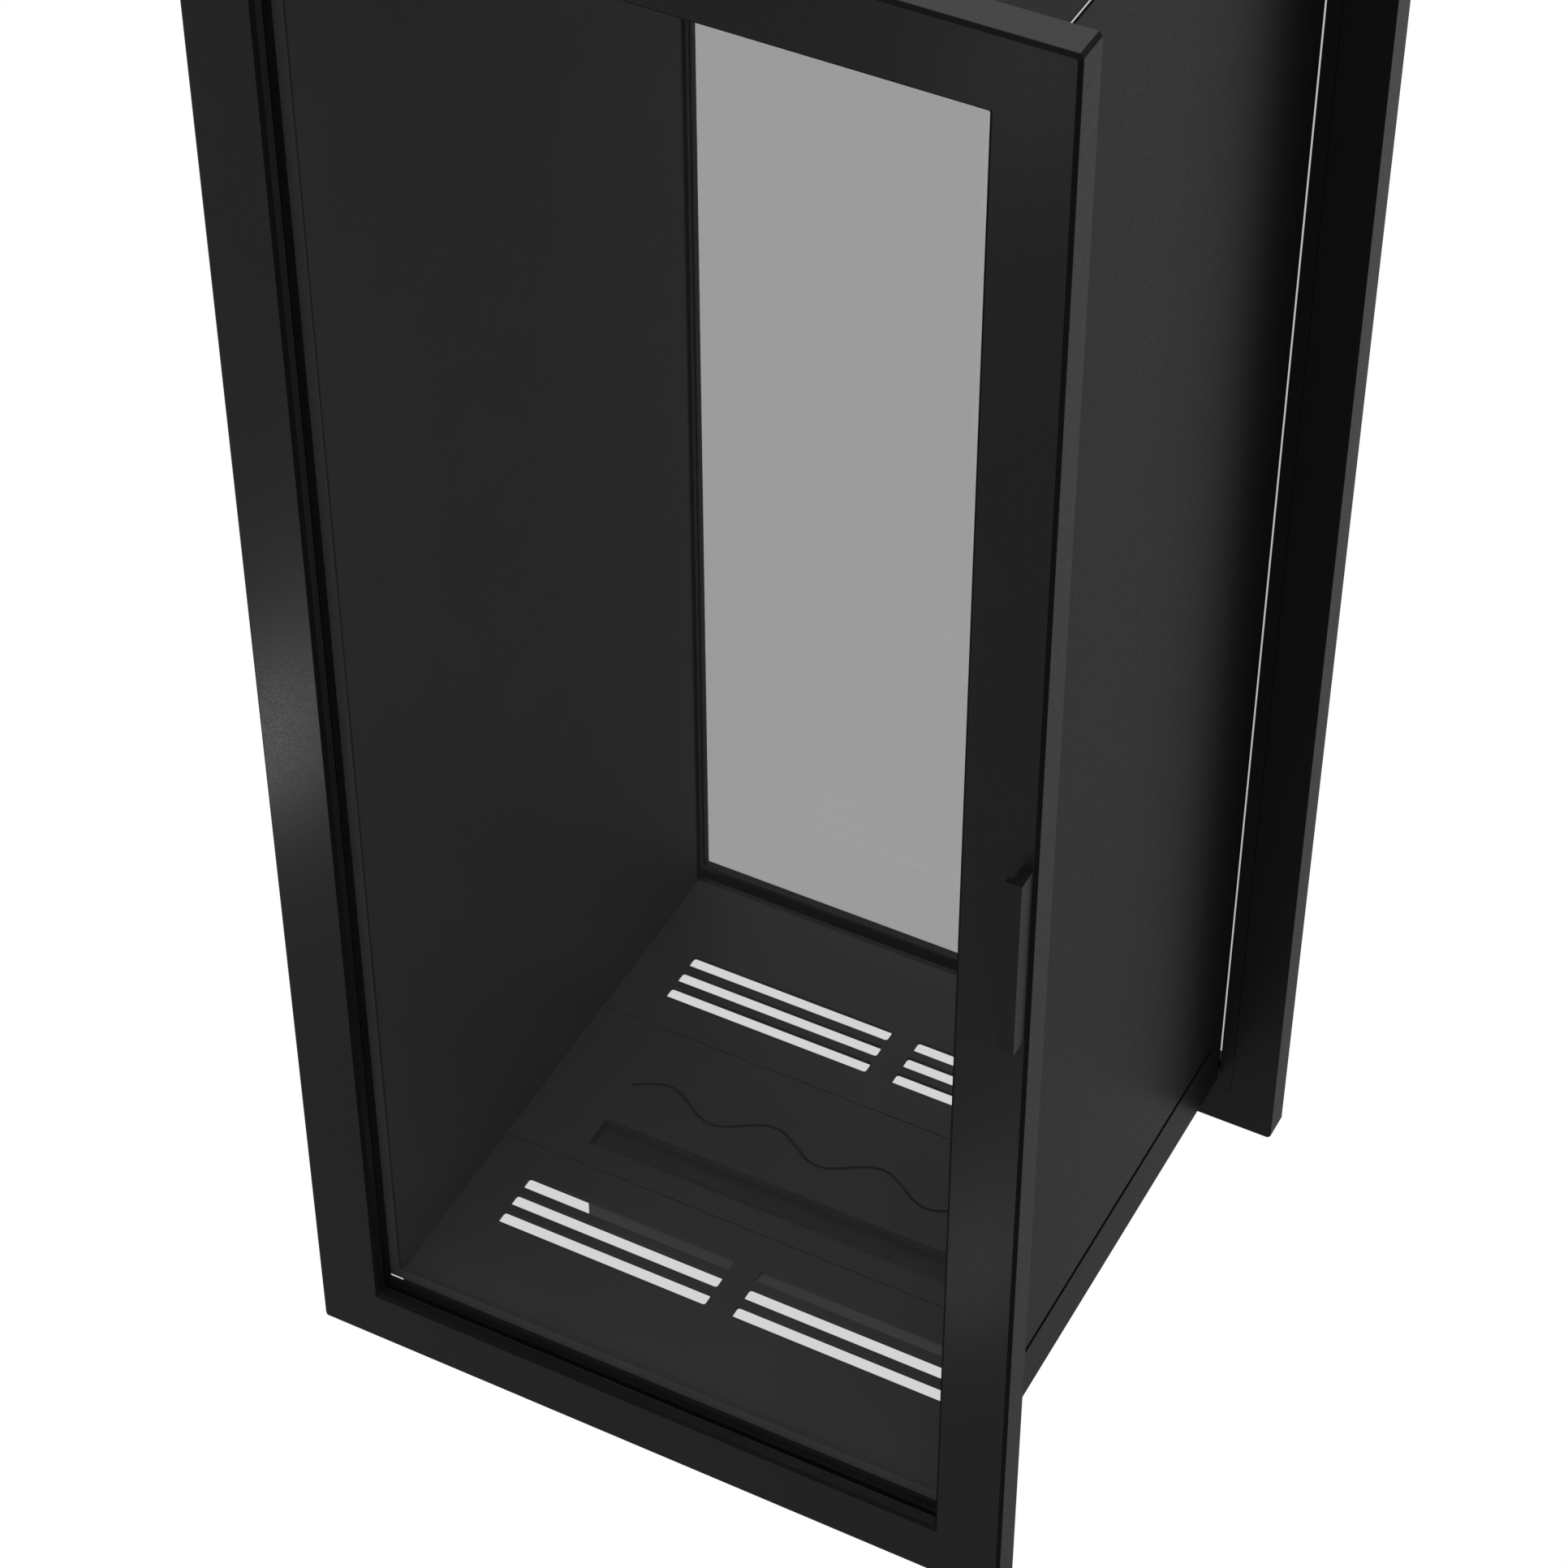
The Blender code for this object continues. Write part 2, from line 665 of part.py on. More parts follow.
def door_seal(surfaces):
    """Rubber seal round the cabin's front edge, which the closed door meets."""
    half = BODY_HALF + SEAL_OVERHANG
    low, high = FLOOR_BOTTOM - GAP, ROOF_TOP + SEAL_OVERHANG
    outlines = [rectangle(half - inset, (high - low) / 2 - inset) for inset in (0.0, SEAL_WIDE)]
    mesh = turned(outline_mesh("door_seal", outlines, SEAL_THICK), ((1, 0, 0), (0, 0, 1), (0, 1, 0)))
    y = BODY_FRONT - GAP - SEAL_THICK / 2
    add_object("door_seal", mesh, surfaces["rubber"], (0, y, (low + high) / 2))


def roof_brackets(surfaces):
    """Angles that tie the roof to the side panels in the four corners."""
    top = ROOF_TOP - SHEET - GAP
    front, rear = BODY_FRONT + BRACKET_INSET, BODY_BACK - BRACKET_INSET
    for side, sign in (("left", -1), ("right", 1)):
        wall = sign * (BODY_HALF - SHEET - GAP)
        outline = [
            (wall, top),
            (wall, top - BRACKET_DROP),
            (wall - sign * BRACKET_THICK, top - BRACKET_DROP),
            (wall - sign * BRACKET_THICK, top - BRACKET_THICK),
            (wall - sign * BRACKET_REACH, top - BRACKET_THICK),
            (wall - sign * BRACKET_REACH, top),
        ]
        for end, y in (("front", front), ("rear", rear)):
            name = "roof_bracket_" + end + "_" + side
            mesh = outline_mesh(name, [outline], BRACKET_LONG)
            mesh = turned(mesh, ((1, 0, 0), (0, 0, 1), (0, 1, 0)))
            add_object(name, mesh, surfaces["steel"], (0, y, 0))


def rear_ties(surfaces):
    """Angles on the roof that carry the top of the rear portal."""
    low = ROOF_TOP + GAP
    back = REAR_FRAME_FRONT - GAP
    outline = [
        (back, low),
        (back - TIE_DEEP, low),
        (back - TIE_DEEP, low + TIE_THICK),
        (back - TIE_THICK, low + TIE_THICK),
        (back - TIE_THICK, low + TIE_TALL),
        (back, low + TIE_TALL),
    ]
    for side, x in (("left", -TIE_X), ("right", TIE_X)):
        name = "rear_tie_" + side
        mesh = turned(outline_mesh(name, [outline], TIE_LONG), ((0, 1, 0), (0, 0, 1), (1, 0, 0)))
        add_object(name, mesh, surfaces["panel"], (x, 0, 0))


# ---------------------------------------------------------------- floor


def vent_outlines(first_y, middle_y):
    """Three rows of two long slots. first_y is the middle of the row nearest the door."""
    outlines = []
    for row in range(3):
        y = FRONT + first_y + row * VENT_PITCH - middle_y
        for sign in (-1, 1):
            x = sign * (VENT_INNER_X + VENT_LENGTH / 2)
            outlines.append(rounded_rectangle(VENT_LENGTH / 2, VENT_WIDE / 2, VENT_CORNER, x, y))
    return outlines


def vented_floor(name, y_from, y_to, first_y, surfaces):
    middle = (y_from + y_to) / 2
    outlines = [rectangle(FLOOR_HALF, (y_to - y_from) / 2)] + vent_outlines(first_y, middle)
    mesh = outline_mesh(name, outlines, FLOOR_THICK)
    add_object(name, mesh, surfaces["floor"], (0, middle, FLOOR_TOP - FLOOR_THICK / 2))


def wave_outline():
    """A ribbon of constant width along a sine wave."""
    left, right = [], []
    for i in range(WAVE_STEPS + 1):
        x = -WAVE_HALF + 2 * WAVE_HALF * i / WAVE_STEPS
        phase = 2 * math.pi * x / WAVE_PERIOD
        y = -WAVE_SWING * math.cos(phase)
        slope = WAVE_SWING * math.sin(phase) * 2 * math.pi / WAVE_PERIOD
        length = math.hypot(1.0, slope)
        nx, ny = -slope / length, 1.0 / length
        left.append((x + nx * WAVE_GROOVE / 2, y + ny * WAVE_GROOVE / 2))
        right.append((x - nx * WAVE_GROOVE / 2, y - ny * WAVE_GROOVE / 2))
    return left + right[::-1]


def floor_hatch(surfaces, parent):
    """Lift-out middle panel with a window and a wavy groove, and the trough hung under the window."""
    y_from = FRONT + HATCH_FROM_FRONT + PANEL_JOINT / 2
    y_to = FRONT + HATCH_TO_FRONT - PANEL_JOINT / 2
    hatch = box(
        "floor_hatch",
        (-FLOOR_HALF, y_from, FLOOR_BOTTOM),
        (FLOOR_HALF, y_to, FLOOR_TOP),
        surfaces["floor"],
        parent,
    )
    trough_y = FRONT + (TROUGH_FROM + TROUGH_TO) / 2
    trough_wide = TROUGH_TO - TROUGH_FROM
    outer_x = TROUGH_HALF + TROUGH_WALL
    outer_y = trough_wide / 2 + TROUGH_WALL
    window = box_mesh("trough_window", (2 * TROUGH_HALF, trough_wide, 4 * FLOOR_THICK))
    cut(hatch, window, (0, trough_y, FLOOR_TOP))
    groove = outline_mesh("wave_groove", [wave_outline()], 2 * WAVE_DEEP)
    cut(hatch, groove, (0, FRONT + WAVE_Y, FLOOR_TOP))
    pan_floor = FLOOR_TOP - TROUGH_DEEP
    rim = FLOOR_BOTTOM - GAP
    pan = box(
        "hatch_trough",
        (-outer_x, trough_y - outer_y, pan_floor - TROUGH_WALL),
        (outer_x, trough_y + outer_y, rim),
        surfaces["floor"],
        parent,
    )
    pocket = box_mesh("trough_pocket", (2 * TROUGH_HALF, trough_wide, 2 * (rim - pan_floor)))
    cut(pan, pocket, (0, trough_y, rim))


def floors(surfaces, hatch_pivot):
    front_end = FRONT + HATCH_FROM_FRONT - PANEL_JOINT / 2
    rear_start = FRONT + HATCH_TO_FRONT + PANEL_JOINT / 2
    rear_end = REAR_FRAME_FRONT - GAP
    vented_floor("floor_panel_front", BODY_FRONT, front_end, FRONT_VENT_Y, surfaces)
    vented_floor("floor_panel_rear", rear_start, rear_end, REAR_VENT_Y, surfaces)
    floor_hatch(surfaces, hatch_pivot)


# ---------------------------------------------------------------- base and feet


def tube_mesh(name, wide, tall, length):
    outer = rectangle(wide / 2, tall / 2)
    inner = rectangle(wide / 2 - TUBE_WALL, tall / 2 - TUBE_WALL)
    return outline_mesh(name, [outer, inner], length)


def base(surfaces):
    """Two long rails and two cross beams of rectangular tube under the floor.

    The front beam runs across the rails' ends, and the rear one stands between them.
    """
    top = FLOOR_BOTTOM - GAP
    tall = top - RAIL_BOTTOM
    z = RAIL_BOTTOM + tall / 2
    y_from = FRONT + FRONT_BEAM[1] + GAP
    y_to = REAR_FRAME_FRONT - GAP
    for side, sign in (("left", -1), ("right", 1)):
        name = "base_rail_" + side
        mesh = tube_mesh(name, RAIL_WIDE, tall, y_to - y_from)
        mesh = turned(mesh, ((1, 0, 0), (0, 0, 1), (0, 1, 0)))
        add_object(name, mesh, surfaces["panel"], (sign * RAIL_X, (y_from + y_to) / 2, z))
    between_rails = 2 * (RAIL_X - RAIL_WIDE / 2 - GAP)
    beams = (("front", FRONT_BEAM, 2 * FLOOR_HALF), ("rear", REAR_BEAM, between_rails))
    for end, (near, far), span in beams:
        name = "base_beam_" + end
        mesh = tube_mesh(name, far - near, tall, span)
        mesh = turned(mesh, ((0, 1, 0), (0, 0, 1), (1, 0, 0)))
        add_object(name, mesh, surfaces["panel"], (0, FRONT + (near + far) / 2, z))


def levelling_foot(name, x, y, surfaces):
    """Turned foot: rubbered pad, short cone and threaded stem up to the rail."""
    bm = bmesh.new()
    profile = (
        (0.0, RAIL_BOTTOM - GAP),
        (FOOT_STEM, RAIL_BOTTOM - GAP),
        (FOOT_STEM, FOOT_PAD + FOOT_CONE),
        (FOOT_RADIUS, FOOT_PAD),
        (FOOT_RADIUS, 0.0),
        (0.0, 0.0),
    )
    corners = [bm.verts.new((radius, 0.0, z)) for radius, z in profile]
    for a, b in zip(corners, corners[1:]):
        bm.edges.new((a, b))
    mesh = bpy.data.meshes.new(name)
    bm.to_mesh(mesh)
    bm.free()
    foot = add_object(name, mesh, surfaces["plastic"], (x, y, 0))
    turn = foot.modifiers.new("turn", "SCREW")
    turn.steps = 32
    turn.render_steps = 32
    turn.use_merge_vertices = True
    turn.merge_threshold = 0.0001
    bake(foot)


def feet(surfaces):
    for end, from_front in zip(("front", "rear"), FOOT_YS):
        for side, sign in (("left", -1), ("right", 1)):
            name = "levelling_foot_" + end + "_" + side
            levelling_foot(name, sign * FOOT_X, FRONT + from_front, surfaces)


# ---------------------------------------------------------------- ventilation unit


def ventilation_tray(surfaces):
    """Open steel tray hung from the floor panels, with fan inlets below and air slots at its ends."""
    low, high = TRAY_BOTTOM, FLOOR_BOTTOM - GAP
    y_middle = FRONT + (TRAY_FROM + TRAY_TO) / 2
    deep = TRAY_TO - TRAY_FROM
    inner_deep = deep - 2 * TRAY_SHEET
    across = 2 * TRAY_HALF + 2 * OVERCUT
    tray = box(
        "ventilation_tray",
        (-TRAY_HALF, FRONT + TRAY_FROM, low),
        (TRAY_HALF, FRONT + TRAY_TO, high),
        surfaces["grey"],
    )
    inner_tall = high - low - TRAY_SHEET
    inside = box_mesh("tray_inside", (2 * (TRAY_HALF - TRAY_SHEET), inner_deep, 2 * inner_tall))
    cut(tray, inside, (0, y_middle, high))
    low_end = box_mesh("tray_low_end", (across, inner_deep, 2 * (high - TRAY_END_TOP)))
    cut(tray, low_end, (0, y_middle, high))
    for sign in (-1, 1):
        inlet = cylinder_mesh("fan_inlet", FAN_HOLE, OVERCUT)
        cut(tray, inlet, (sign * FAN_X, FRONT + FAN_Y, low))
    outlet = box_mesh("tray_outlet", (across, deep - 2 * OUTLET_END_MARGIN, OUTLET_TALL))
    cut(tray, outlet, (0, y_middle, low + OUTLET_MIDDLE))


def fan_frame(name, x, surfaces):
    """Square fan housing with a motor mount on four arms at its lower face."""
    low = TRAY_BOTTOM + TRAY_SHEET + GAP
    y = FRONT + FAN_Y
    outlines = [rounded_rectangle(FAN_SIDE / 2, FAN_SIDE / 2, FAN_CORNER), circle(FAN_HOLE)]
    mesh = outline_mesh(name, outlines, FAN_THICK)
    frame = add_object(name, mesh, surfaces["plastic"], (x, y, low + FAN_THICK / 2))
    span = 2 * FAN_HOLE + BLADE_ROOT
    for size in ((span, ARM_WIDE, ARM_THICK), (ARM_WIDE, span, ARM_THICK)):
        join(frame, box_mesh(name + "_arm", size), (x, y, low + GAP + ARM_THICK / 2))
    motor = cylinder_mesh(name + "_motor", HUB_RADIUS, MOTOR_TALL, 24)
    join(frame, motor, (x, y, low + GAP + MOTOR_TALL / 2))
    shaft_low = ARM_THICK / 2
    shaft = cylinder_mesh(name + "_shaft", SHAFT_RADIUS, SHAFT_TOP - shaft_low, 12)
    join(frame, shaft, (x, y, low + (SHAFT_TOP + shaft_low) / 2))


def fan_impeller(name, x, surfaces, parent):
    """Hub with tilted blades, running on the motor shaft."""
    low = TRAY_BOTTOM + TRAY_SHEET + GAP + HUB_LIFT
    y = FRONT + FAN_Y
    middle = low + HUB_TALL / 2
    hub = cylinder_mesh(name, HUB_RADIUS, HUB_TALL, 24)
    impeller = add_object(name, hub, surfaces["plastic"], (x, y, middle), parent)
    reach = BLADE_TIP - HUB_RADIUS + BLADE_ROOT
    out = Matrix.Translation((HUB_RADIUS - BLADE_ROOT + reach / 2, 0, 0))
    tilt = Matrix.Rotation(BLADE_TILT, 4, "X")
    for i in range(BLADE_COUNT):
        turn = Matrix.Rotation(2 * math.pi * i / BLADE_COUNT, 4, "Z")
        blade = box_mesh(name + "_blade", (reach, BLADE_WIDE, BLADE_THICK))
        blade.transform(turn @ out @ tilt)
        join(impeller, blade, (x, y, middle))
    bore_deep = SHAFT_TOP - HUB_LIFT + 2 * GAP
    cut(impeller, cylinder_mesh(name + "_bore", SHAFT_BORE, 2 * bore_deep, 12), (x, y, low))


def power_parts(surfaces):
    """Power supply in the tray, and the mains inlet on the tray's back."""
    floor = TRAY_BOTTOM + TRAY_SHEET + GAP
    box(
        "power_supply",
        (-SUPPLY_HALF, FRONT + SUPPLY_YS[0], floor),
        (SUPPLY_HALF, FRONT + SUPPLY_YS[1], floor + SUPPLY_TALL),
        surfaces["steel"],
    )
    back = FRONT + TRAY_TO + GAP
    (left, right), (bottom, top) = INLET_XS, INLET_ZS
    inlet = box(
        "power_inlet", (left, back, bottom), (right, back + INLET_DEEP, top), surfaces["plastic"]
    )
    opening = (right - left - 2 * INLET_WALL[0], 2 * SOCKET_DEEP, top - bottom - 2 * INLET_WALL[1])
    middle = ((left + right) / 2, back + INLET_DEEP, (bottom + top) / 2)
    cut(inlet, box_mesh("inlet_pocket", opening), middle)


def ventilation(surfaces, pivots):
    ventilation_tray(surfaces)
    for side, sign in (("left", -1), ("right", 1)):
        fan_frame("fan_frame_" + side, sign * FAN_X, surfaces)
        fan_impeller("fan_impeller_" + side, sign * FAN_X, surfaces, pivots[side])
    power_parts(surfaces)


# ---------------------------------------------------------------- assembly


def main():
    clear_scene()
    surfaces = make_materials()
    door = pivot("door_axis", (HINGE_X, HINGE_Y, 0))
    hatch = pivot("hatch_lift", (0, FRONT + (HATCH_FROM_FRONT + HATCH_TO_FRONT) / 2, FLOOR_TOP))
    fans = {
        side: pivot("fan_axis_" + side, (sign * FAN_X, FRONT + FAN_Y, TRAY_BOTTOM))
        for side, sign in (("left", -1), ("right", 1))
    }
    bpy.context.view_layer.update()

    portal("door", FRONT, (0, 1, 0), surfaces["frame"], door)
    glazing("door", FRONT, 1, surfaces, door)
    door_handle(surfaces, door)
    hinges(surfaces, door)
    magnetic_catch(surfaces, door)

    portal("rear", BACK, (0, -1, 0), surfaces["frame"])
    glazing("rear", BACK, -1, surfaces)
    rear_ties(surfaces)

    side_panel("side_panel_left", -1, surfaces)
    side_panel("side_panel_right", 1, surfaces)
    side_lining("side_lining_left", -1, surfaces)
    side_lining("side_lining_right", 1, surfaces)
    roof(surfaces)
    door_seal(surfaces)
    roof_brackets(surfaces)
    ceiling_light(surfaces)

    floors(surfaces, hatch)
    base(surfaces)
    feet(surfaces)
    ventilation(surfaces, fans)
    shade_round_pieces()


main()
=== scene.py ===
"""Looks of the telephone booth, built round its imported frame.

It adds the welded skins of both portals, the screws and nuts, the materials, the light and the camera.
"""

import math

import bmesh
import bpy
from mathutils import Matrix, Vector


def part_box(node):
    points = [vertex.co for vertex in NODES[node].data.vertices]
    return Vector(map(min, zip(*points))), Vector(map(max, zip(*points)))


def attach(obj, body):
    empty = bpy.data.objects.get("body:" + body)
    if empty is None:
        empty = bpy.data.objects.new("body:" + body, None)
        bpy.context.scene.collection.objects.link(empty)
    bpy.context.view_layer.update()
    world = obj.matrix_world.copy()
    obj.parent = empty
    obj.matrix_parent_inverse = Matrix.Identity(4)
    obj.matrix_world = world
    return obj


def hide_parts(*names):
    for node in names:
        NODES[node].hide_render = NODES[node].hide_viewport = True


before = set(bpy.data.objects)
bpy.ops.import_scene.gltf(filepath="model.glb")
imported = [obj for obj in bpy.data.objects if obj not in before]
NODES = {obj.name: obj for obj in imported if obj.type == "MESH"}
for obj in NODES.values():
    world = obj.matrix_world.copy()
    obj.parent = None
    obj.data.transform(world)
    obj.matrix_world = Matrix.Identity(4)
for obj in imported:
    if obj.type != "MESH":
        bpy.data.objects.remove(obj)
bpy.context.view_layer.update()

# Camera
CAMERA_AT = (1.7058, -3.3332, 4.3740)
CAMERA_TOWARDS = (-0.3346, 0.6401, -0.6916)
LENS_MM = 102.05

# Portal section, as the frame's members have it
PORTAL_BORDER = 0.086
PORTAL_SHOULDER = 0.0604
PORTAL_THICK = 0.0425
PORTAL_LIP = 0.016
PORTAL_CHAMFER = 0.004
CORNER_CLIP = 0.0012         # small flat across the corners that have no full chamfer

EDGE_SOFT = 0.0006           # width of the rounding that a coating leaves on sheet and section edges
SHARP_ANGLE = math.radians(35)   # from this turn on an edge is rounded, or stays sharp in smooth shading

# Hinge screws: head radius, leaf thickness, distance from the leaf's ends, and places across both leaves
HINGE_SCREW = 0.0042
LEAF_THICK = 0.003
LEAF_MARGIN = 0.018
BODY_LEAF_ROWS = (0.0396, 0.0126)   # distances of the two rows from the leaf's rear edge
DOOR_LEAF_ROW = 0.0108              # distance from the leaf's outer edge

# Screws of the rear ties
TIE_SCREW = 0.005
TIE_THICK = 0.003
TIE_MARGIN = 0.015

# Button head: its height as a share of its radius, then (share of radius, share of height) from rim to pocket
HEAD_HIGH = 0.55
HEAD_SHAPE = ((1.0, 0.25), (0.90, 0.62), (0.66, 0.94), (0.52, 1.0), (0.46, 1.0), (0.46, 0.35), (0.0, 0.30))
HEAD_SUNK = 0.001            # how far the head's foot stands in the sheet
SCREW_SIDES = 20

# Lock nut of a levelling foot: half widths across corners of its end faces and its body, height, chamfer
NUT_FACE = 0.0080
NUT_WIDE = 0.0092
NUT_HIGH = 0.0070
NUT_CHAMFER = 0.0012
NUT_FROM_STEM_TOP = 0.0085   # from the top of the foot's stem down to the nut's foot

STAGE_HALF = 40.0
VIEW_FAR = 100.0

SKY_LOW = (-0.9, 0.2)        # height of a direction, and the studio's strength there
SKY_HIGH = (0.5, 2.0)

# Small lamps whose soft reflections show on the door: point on its face, distance, watts
DOOR_GLOWS = (
    ((-0.453, 1.028), 0.50, 0.50),
    ((0.432, 0.630), 0.45, 0.12),
    ((0.445, 2.210), 0.50, 0.15),
)
GLOW_SIZE = 0.12

# Colours as linear values
COAT = (0.0030, 0.0030, 0.0031)
# The next colour is painted shade: the portals' chamfers and corner flats are coloured darker than the coat
# to stand in for the shadow along those edges
CHAMFER_PAINTED_SHADE = (0.0022, 0.0022, 0.0023)
FLOOR_COAT = (0.0420, 0.0420, 0.0426)
LINING_SKIN = (0.0320, 0.0320, 0.0324)
UNIT_GREY = (0.085, 0.085, 0.087)
ZINC = (0.42, 0.42, 0.43)
GLASS_TINTS = ((0.0035, 0.0040, 0.0040), (0.0050, 0.0055, 0.0055))
SEAL_GREY = (0.045, 0.045, 0.045)
RUBBER_BLACK = (0.006, 0.006, 0.006)
PLASTIC_BLACK = (0.012, 0.012, 0.012)
OPAL_WHITE = (0.80, 0.80, 0.78)

# Glass: IOR, and what each of a pane's two faces takes from the light that passes
GLASS_IOR = 1.5
DOOR_PANE_TAKES = 0.19
REAR_PANE_TAKES = 0.298

# Noises as (cycles per metre, octaves), and bumps as (cycles per metre, octaves, depth in metres)
COAT_PATCHES = (9.0, 4.0)
COAT_GLOSS = (420.0, 2.0)
COAT_WAVES = (60.0, 2.0, 0.0004)
COAT_GRAIN = (1300.0, 2.0, 0.00025)
GLASS_HAZE = (3.0, 3.0)
ZINC_CLOUDS = (140.0, 4.0)
ZINC_GRAIN = (1500.0, 2.0, 0.0001)
PLASTIC_PATCHES = (30.0, 3.0)
PLASTIC_GRAIN = (1600.0, 2.0, 0.00012)

# Strength of each bump, and how far roughness runs to either side of its middle
WAVE_STRENGTH = 0.05
COAT_GRAIN_STRENGTH = 0.14
SMOOTH_GRAIN_STRENGTH = 0.03
ZINC_GRAIN_STRENGTH = 0.15
PLASTIC_GRAIN_STRENGTH = 0.25
COAT_UNEVEN = 0.05
PLASTIC_UNEVEN = 0.06
ZINC_ROUGHNESS = (0.30, 0.46)


# ---------------------------------------------------------------- materials


class Nodes:
    """A new material's node tree, with short calls to add and join nodes."""

    def __init__(self, name):
        self.material = bpy.data.materials.new(name)
        self.material.use_nodes = True
        self.tree = self.material.node_tree
        self.shader = self.tree.nodes["Principled BSDF"]

    def add(self, kind, **values):
        node = self.tree.nodes.new("ShaderNode" + kind)
        for key, value in values.items():
            if key in node.inputs:
                node.inputs[key].default_value = value
            else:
                setattr(node, key, value)
        return node

    def join(self, out, into):
        self.tree.links.new(out, into)

    def set(self, **values):
        for key, value in values.items():
            self.shader.inputs[key.replace("_", " ")].default_value = value

    def noise(self, scale, detail):
        """Noise in metres, so that its grain has one size on every piece."""
        place = self.add("TexCoord")
        noise = self.add("TexNoise", Scale=scale, Detail=detail)
        self.join(place.outputs["Object"], noise.inputs["Vector"])
        return noise.outputs["Fac"]

    def between(self, factor, low, high):
        """A value that runs from low to high as factor runs from 0.3 to 0.7."""
        ramp = self.add("MapRange")
        for end, start, result in (("Min", 0.3, low), ("Max", 0.7, high)):
            ramp.inputs["From " + end].default_value = start
            ramp.inputs["To " + end].default_value = result
        self.join(factor, ramp.inputs["Value"])
        return ramp.outputs["Result"]

    def tint(self, factor, dark, light):
        """A colour that runs from dark to light with factor."""
        mix = self.add("Mix", data_type="RGBA")
        first, second = [socket for socket in mix.inputs if socket.type == "RGBA"]
        first.default_value = (*dark, 1)
        second.default_value = (*light, 1)
        self.join(factor, mix.inputs["Factor"])
        return next(socket for socket in mix.outputs if socket.type == "RGBA")

    def bump(self, grain, strength, before=None):
        """The normal of a noise's bumps, laid over the normal before."""
        scale, detail, distance = grain
        node = self.add("Bump", Strength=strength, Distance=distance)
        self.join(self.noise(scale, detail), node.inputs["Height"])
        if before is not None:
            self.join(before, node.inputs["Normal"])
        return node.outputs["Normal"]

    def feed(self, name, out):
        self.join(out, self.shader.inputs[name])


def scaled(colour, factor):
    return tuple(channel * factor for channel in colour)


def powder_coat(name, colour, roughness, specular, grain=COAT_GRAIN_STRENGTH):
    """Baked powder: a fine leathery grain over a slow waviness, with slightly uneven gloss."""
    made = Nodes(name)
    made.set(Specular_IOR_Level=specular, Metallic=0.0)
    patches, gloss = made.noise(*COAT_PATCHES), made.noise(*COAT_GLOSS)
    made.feed("Base Color", made.tint(patches, scaled(colour, 0.88), scaled(colour, 1.12)))
    made.feed("Roughness", made.between(gloss, roughness - COAT_UNEVEN, roughness + COAT_UNEVEN))
    made.feed("Normal", made.bump(COAT_GRAIN, grain, made.bump(COAT_WAVES, WAVE_STRENGTH)))
    return made.material


def tinted_glass(name, takes, gloss):
    """Laminated pane, whose tint is the share of light that each face takes."""
    made = Nodes(name)
    made.set(Roughness=0.0, IOR=GLASS_IOR, Alpha=takes, Specular_IOR_Level=gloss)
    made.feed("Base Color", made.tint(made.noise(*GLASS_HAZE), *GLASS_TINTS))
    return made.material


def zinc(name):
    """Bright zinc plate with faint clouding."""
    made = Nodes(name)
    made.set(Metallic=0.9)
    clouds = made.noise(*ZINC_CLOUDS)
    made.feed("Base Color", made.tint(clouds, scaled(ZINC, 0.8), scaled(ZINC, 1.1)))
    made.feed("Roughness", made.between(clouds, *ZINC_ROUGHNESS))
    made.feed("Normal", made.bump(ZINC_GRAIN, ZINC_GRAIN_STRENGTH))
    return made.material


def plastic(name, colour, roughness):
    """Moulded plastic with a spark-eroded texture."""
    made = Nodes(name)
    made.set(Specular_IOR_Level=0.35)
    patches = made.noise(*PLASTIC_PATCHES)
    made.feed("Base Color", made.tint(patches, scaled(colour, 0.9), scaled(colour, 1.1)))
    made.feed("Roughness", made.between(patches, roughness - PLASTIC_UNEVEN, roughness + PLASTIC_UNEVEN))
    made.feed("Normal", made.bump(PLASTIC_GRAIN, PLASTIC_GRAIN_STRENGTH))
    return made.material


def make_materials():
    """Every finish by its short name. Coats take colour, roughness, specular level and grain."""
    smooth = SMOOTH_GRAIN_STRENGTH
    return {
        "frame": powder_coat("frame_coat", COAT, 0.42, 0.16, 0.20),
        # Painted shade: a darker, less glossy coat for the portals' chamfers and corner flats
        "chamfer": powder_coat("chamfer_painted_shade", CHAMFER_PAINTED_SHADE, 0.50, 0.03),
        "panel": powder_coat("panel_coat", COAT, 0.34, 0.05),
        "floor": powder_coat("floor_coat", FLOOR_COAT, 0.55, 0.085, smooth),
        "lining": powder_coat("lining_skin", LINING_SKIN, 0.50, 0.085, smooth),
        "unit": powder_coat("unit_paint", UNIT_GREY, 0.60, 0.20),
        "door_glass": tinted_glass("door_glass_tint", DOOR_PANE_TAKES, 0.25),
        "rear_glass": tinted_glass("rear_glass_tint", REAR_PANE_TAKES, 1.0),
        "zinc": zinc("zinc_plate"),
        "seal": plastic("cabin_seal", SEAL_GREY, 0.75),
        "rubber": plastic("seal_rubber", RUBBER_BLACK, 0.75),
        "black": plastic("black_plastic", PLASTIC_BLACK, 0.50),
        "opal": plastic("opal_diffuser", OPAL_WHITE, 0.35),
    }


def dress(node, material):
    mesh = NODES[node].data
    mesh.materials.clear()
    mesh.materials.append(material)


